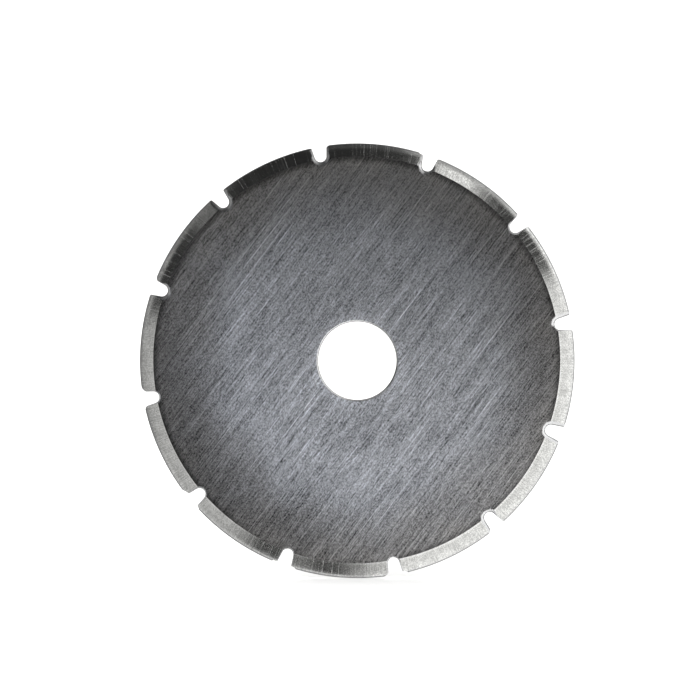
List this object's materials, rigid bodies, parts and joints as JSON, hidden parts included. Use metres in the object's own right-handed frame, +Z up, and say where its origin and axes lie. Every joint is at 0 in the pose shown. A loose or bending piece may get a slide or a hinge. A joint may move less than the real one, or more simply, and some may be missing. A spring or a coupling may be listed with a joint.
{
  "type": "rotary cutter blade",
  "caption": "Thin round steel blade for a rotary cutter, with a plain arbor hole, an edge ground on both faces and rounded notches round the rim that leave ties in the cut.",
  "frame": {"origin": "centre of the arbor hole at half the blade's thickness", "axes": "+Y along the arbor hole, so the blade stands in the XZ plane with +Z up; the first notch is centred 10.2 degrees from +X towards +Z"},
  "size_m": [0.045, 0.0004, 0.045],
  "materials": {
    "blade_steel": "hardened tool steel strip, brushed in straight lines on the flats, bright ground bevel, finely honed rim"
  },
  "bodies": {
    "root": {"blade": "blade_steel"}
  },
  "joints": []
}
